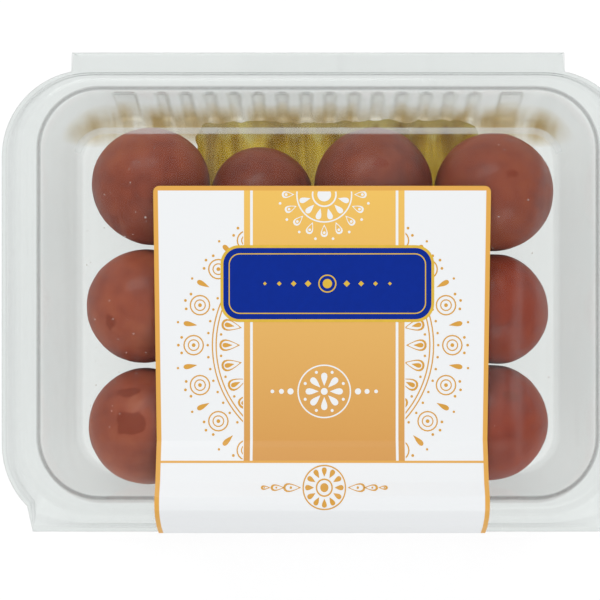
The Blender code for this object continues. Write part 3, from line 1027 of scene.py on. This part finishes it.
flower = print_start("flower_band")
flower_centre = (BAND_MIDDLE, -31.5 * MM)
x, y = flower_centre
disc(x, y, 1.1 * MM, 20)
petal(flower, x + 3.9 * MM, y, 4.2 * MM, 2.5 * MM)
repeat_round(flower_centre, 8)
disc(x + 6.6 * MM, y, 0.5 * MM, 10)
repeat_round(flower_centre, 8, math.tau / 16)
ring(x, y, 8.6 * MM, 0.45 * MM, 60)
for side in (-1, 1):
    for number, radius in enumerate((1.0, 0.8, 0.6)):
        disc(x + side * (10.8 + 2.9 * number) * MM, y, radius * MM, 16)
print_finish(flower, INK, white_ink)

front = print_start("flower_front")
front_centre = (BAND_MIDDLE, -61.6 * MM)
x, y = front_centre
disc(x, y, 1.3 * MM, 20)
ring(x, y, 2.7 * MM, 0.45 * MM, 32)
petal(front, x + 4.7 * MM, y, 2.8 * MM, 1.9 * MM)
repeat_round(front_centre, 12)
ring(x, y, 6.9 * MM, 0.4 * MM, 60)
for side in (-1, 1):
    for number, (length, width) in enumerate(((5.6, 3.2), (4.4, 2.4), (3.0, 1.6))):
        petal(front, x + (10.2 + 5.0 * number - 0.4 * number ** 2) * MM, y, length * MM, width * MM, 0.5 * MM)
        if side < 0:
            bpy.ops.transform.rotate(value=math.pi, orient_axis="Z", center_override=(x, y, 0))
        disc(x + side * (10.6 + 5.0 * number - 0.4 * number ** 2) * MM, y, 0.12 * width * MM, 10)
print_finish(front, INK + 0.03 * MM, orange_ink)

PLATE = (3.0 * MM, 3.0 * MM, 68.4 * MM, 24.6 * MM)     # middle x and y, width and depth


def plate(name, shrink, corner, lift, material):
    """A rounded field of ink, smaller than the whole plate by shrink on each side."""
    sheet = print_start(name)
    x, y, width, depth = PLATE
    bpy.ops.mesh.primitive_plane_add(size=1.0, location=(x, y, 0.0))
    bpy.ops.transform.resize(value=(width - 2 * shrink, depth - 2 * shrink, 1.0),
                             center_override=(x, y, 0.0))
    bpy.ops.mesh.bevel(offset=corner, segments=10, affect="VERTICES")
    print_finish(sheet, lift, material)


plate("plate_rim", 0.0, 6.0 * MM, INK + 0.02 * MM, gold_ink)
plate("plate_field", 0.9 * MM, 5.1 * MM, INK + 0.04 * MM, blue_ink)
trimming = print_start("plate_line")
x, y, width, depth = PLATE
bpy.ops.mesh.primitive_plane_add(size=1.0, location=(x, y, 0.0))
bpy.ops.transform.resize(value=(width - 5.2 * MM, depth - 5.2 * MM, 1.0), center_override=(x, y, 0.0))
bpy.ops.mesh.bevel(offset=3.6 * MM, segments=10, affect="VERTICES")
bpy.ops.mesh.inset(thickness=0.35 * MM)
bpy.ops.mesh.delete(type="FACE")
disc(x, y, 1.5 * MM, 24)
ring(x, y, 2.9 * MM, 0.4 * MM, 36)
for side in (-1, 1):
    for number in range(4):
        disc(x + side * (6.2 + 4.6 * number) * MM, y, (1.05 - 0.15 * number) * MM, 4)
print_finish(trimming, INK + 0.06 * MM, gold_ink)

# --- Studio ---------------------------------------------------------------------
# The pack lies on a plain white sweep and is seen from straight above. A broad soft
# lamp hangs on the hinge side and a weaker one on the front side.
LENS_HEIGHT = 0.569
RIDGE_HEIGHT = 48.6 * MM
FRAME_WIDTH = 189.3 * MM     # width in view at the height of the lid's ridge

camera_data = bpy.data.cameras.new("top_camera")
camera_data.sensor_width = 36.0
camera_data.lens = 36.0 * (LENS_HEIGHT - RIDGE_HEIGHT) / FRAME_WIDTH
camera_data.shift_x = -0.030
camera_data.shift_y = -0.0117
camera = bpy.data.objects.new("top_camera", camera_data)
camera.location = (0.0, 0.0, LENS_HEIGHT)
bpy.context.scene.collection.objects.link(camera)
bpy.context.scene.camera = camera
bpy.context.scene.view_settings.view_transform = "Standard"
bpy.context.scene.cycles.transparent_max_bounces = 24


def soft_lamp(name, place, width, depth, power):
    """A rectangular lamp that faces the pack."""
    lamp = bpy.data.lights.new(name, "AREA")
    lamp.shape = "RECTANGLE"
    lamp.size = width
    lamp.size_y = depth
    lamp.energy = power
    hung = bpy.data.objects.new(name, lamp)
    hung.location = place
    hung.rotation_euler = (Vector((0.0, 0.0, 0.03)) - Vector(place)).to_track_quat("-Z", "Y").to_euler()
    bpy.context.scene.collection.objects.link(hung)


soft_lamp("hinge_side_lamp", (-0.20, 0.60, 0.60), 0.60, 0.30, 2.6)
soft_lamp("front_side_lamp", (0.30, -0.65, 0.60), 0.60, 0.30, 2.0)

room = bpy.data.worlds.new("white_room")
bpy.context.scene.world = room
room.use_nodes = True
nodes, links = room.node_tree.nodes, room.node_tree.links
nodes.clear()
seen = nodes.new("ShaderNodeBackground")
seen.inputs["Color"].default_value = (1.0, 1.0, 1.0, 1.0)
seen.inputs["Strength"].default_value = 1.0
lit = nodes.new("ShaderNodeBackground")
lit.inputs["Color"].default_value = (0.97, 0.985, 1.0, 1.0)
lit.inputs["Strength"].default_value = 0.66
path = nodes.new("ShaderNodeLightPath")
white_for = combine(nodes, links, "MAXIMUM", path.outputs["Is Camera Ray"],
                    combine(nodes, links, "MAXIMUM", path.outputs["Is Glossy Ray"],
                            path.outputs["Is Transmission Ray"]))
choose = nodes.new("ShaderNodeMixShader")
output = nodes.new("ShaderNodeOutputWorld")
links.new(white_for, choose.inputs["Fac"])
links.new(lit.outputs["Background"], choose.inputs[1])
links.new(seen.outputs["Background"], choose.inputs[2])
links.new(choose.outputs["Shader"], output.inputs["Surface"])

deselect()
bpy.ops.mesh.primitive_plane_add(size=6.0, location=(0.0, 0.0, -0.2 * MM))
sweep = bpy.context.active_object
sweep.name = "white_sweep"
sweep_paint, nodes, links, output = empty_material("sweep_white")
bounced = nodes.new("ShaderNodeBsdfDiffuse")
bounced.inputs["Color"].default_value = (0.86, 0.86, 0.86, 1.0)
shaded = nodes.new("ShaderNodeBsdfDiffuse")
shaded.inputs["Color"].default_value = (0.28, 0.28, 0.28, 1.0)
glow = nodes.new("ShaderNodeEmission")
glow.inputs["Strength"].default_value = 0.78
lift = nodes.new("ShaderNodeAddShader")
links.new(shaded.outputs["BSDF"], lift.inputs[0])
links.new(glow.outputs["Emission"], lift.inputs[1])
path = nodes.new("ShaderNodeLightPath")
choose = nodes.new("ShaderNodeMixShader")
links.new(path.outputs["Is Camera Ray"], choose.inputs["Fac"])
links.new(bounced.outputs["BSDF"], choose.inputs[1])
links.new(lift.outputs["Shader"], choose.inputs[2])
links.new(choose.outputs["Shader"], output.inputs["Surface"])
sweep.data.materials.append(sweep_paint)
